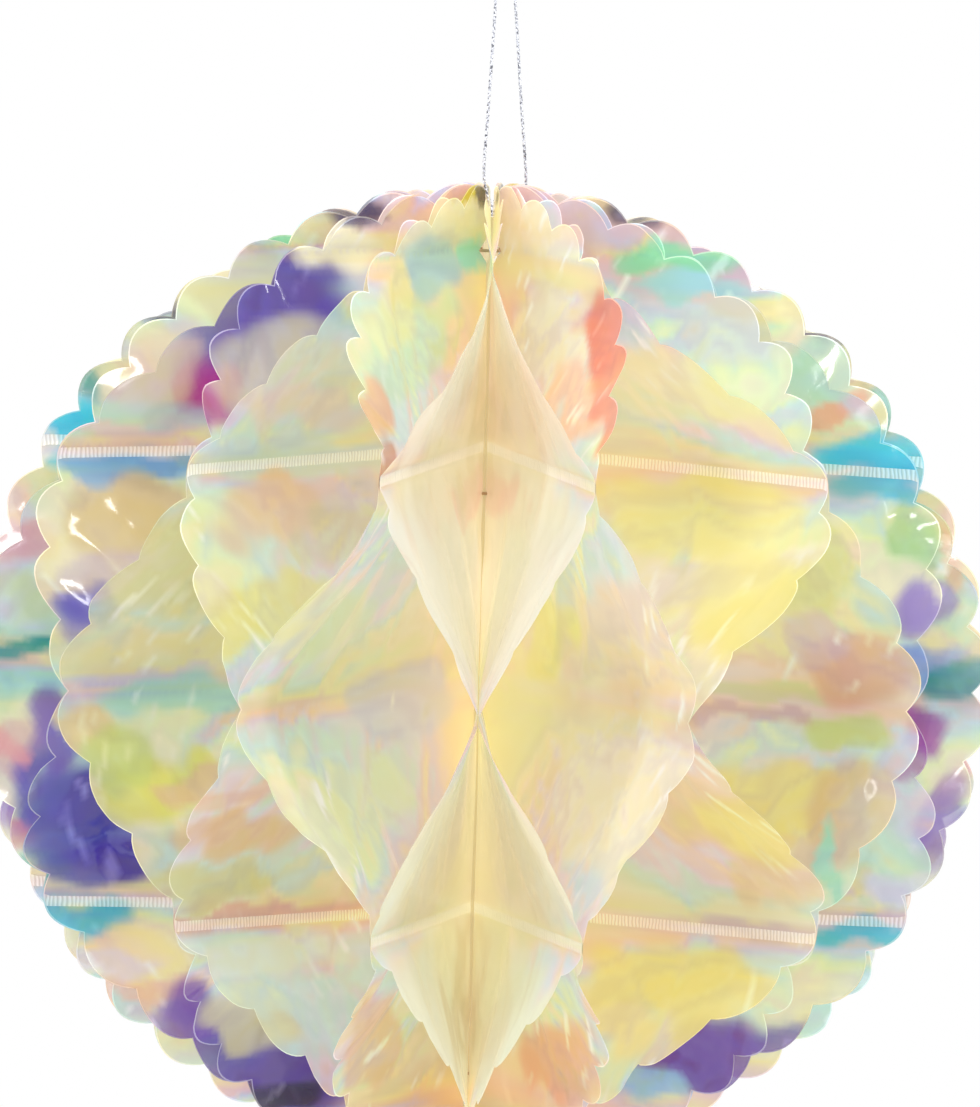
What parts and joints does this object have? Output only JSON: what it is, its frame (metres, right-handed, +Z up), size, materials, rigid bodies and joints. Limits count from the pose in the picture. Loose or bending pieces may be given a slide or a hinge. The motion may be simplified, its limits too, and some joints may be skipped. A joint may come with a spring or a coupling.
{
  "type": "iridescent film honeycomb ball",
  "caption": "Hanging honeycomb ball of clear iridescent film, with welded half-disc leaves, scalloped edges and a looped silver cord",
  "frame": {"origin": "The point inside the top of the cord loop where a hook bears, above the ball's spine.", "axes": "+Z is up, along the spine of the ball. -Y faces the viewer of the usual front view, and +X is to that viewer's right."},
  "size_m": [0.2976, 0.2957, 0.3781],
  "materials": {
    "iridescent_film": "clear polyester film with an iridescent coating, glossy",
    "silver_cord": "metallised braided cord, satin",
    "clear_thread": "clear sewing thread",
    "clear_glue": "clear set glue, smooth",
    "clear_tape": "clear double-sided tape"
  },
  "bodies": {
    "root": {"film_leaf_01": "iridescent_film", "film_leaf_02": "iridescent_film", "film_leaf_03": "iridescent_film", "film_leaf_04": "iridescent_film", "film_leaf_05": "iridescent_film", "film_leaf_06": "iridescent_film", "film_leaf_07": "iridescent_film", "film_leaf_08": "iridescent_film", "film_leaf_09": "iridescent_film", "film_leaf_10": "iridescent_film", "film_leaf_11": "iridescent_film", "film_leaf_12": "iridescent_film", "film_leaf_13": "iridescent_film", "film_leaf_14": "iridescent_film", "film_leaf_15": "iridescent_film", "film_leaf_16": "iridescent_film", "film_leaf_17": "iridescent_film", "film_leaf_18": "iridescent_film", "film_leaf_19": "iridescent_film", "film_leaf_20": "iridescent_film", "film_leaf_21": "iridescent_film", "film_leaf_22": "iridescent_film", "film_leaf_23": "iridescent_film", "film_leaf_24": "iridescent_film", "film_leaf_25": "iridescent_film", "film_leaf_26": "iridescent_film", "spine_bead": "clear_glue", "top_tie": "clear_thread", "spine_tie_upper": "clear_thread", "spine_tie_lower": "clear_thread", "closing_tape_upper": "clear_tape", "closing_tape_lower": "clear_tape", "hanging_cord": "silver_cord"}
  },
  "joints": []
}
